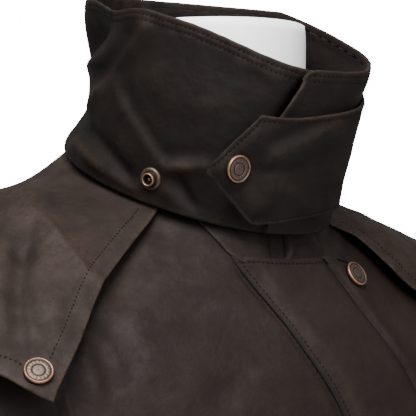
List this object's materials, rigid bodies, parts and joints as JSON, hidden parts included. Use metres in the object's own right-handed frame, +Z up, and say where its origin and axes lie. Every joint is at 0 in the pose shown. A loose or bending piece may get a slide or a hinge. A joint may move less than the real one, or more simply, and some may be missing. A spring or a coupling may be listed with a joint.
{
  "type": "duster coat on dress form",
  "caption": "Long dark brown waxed-cotton duster coat with a shoulder cape and a stand-up collar closed by a throat tab, on a limbless dress form and stand.",
  "frame": {"origin": "centre of the underside of the stand's base", "axes": "+Z up along the pole; the coat's front faces -Y and the wearer's left is +X"},
  "size_m": [0.804, 0.4702, 1.5683],
  "materials": {
    "cloth": "waxed cotton, satin",
    "cloth_cape": "waxed cotton, satin",
    "cloth_collar": "waxed cotton, satin",
    "snap_metal": "antique copper",
    "form_cover": "smooth white",
    "stand_paint": "satin grey"
  },
  "bodies": {
    "root": {"front_right": "cloth", "front_left": "cloth", "back": "cloth", "sleeve_right": "cloth", "sleeve_left": "cloth", "cape": "cloth_cape", "collar": "cloth_collar", "throat_tab": "cloth_collar", "storm_flap": "cloth", "throat_snap_cap": "snap_metal", "collar_snap_post": "snap_metal", "cape_snap_cap_right": "snap_metal", "cape_snap_cap_left": "snap_metal", "front_snap_cap_1": "snap_metal", "front_snap_cap_2": "snap_metal", "front_snap_cap_3": "snap_metal", "front_snap_cap_4": "snap_metal", "front_snap_cap_5": "snap_metal", "front_snap_cap_6": "snap_metal", "form_torso": "form_cover", "form_pole": "stand_paint", "form_base": "stand_paint"}
  },
  "joints": []
}
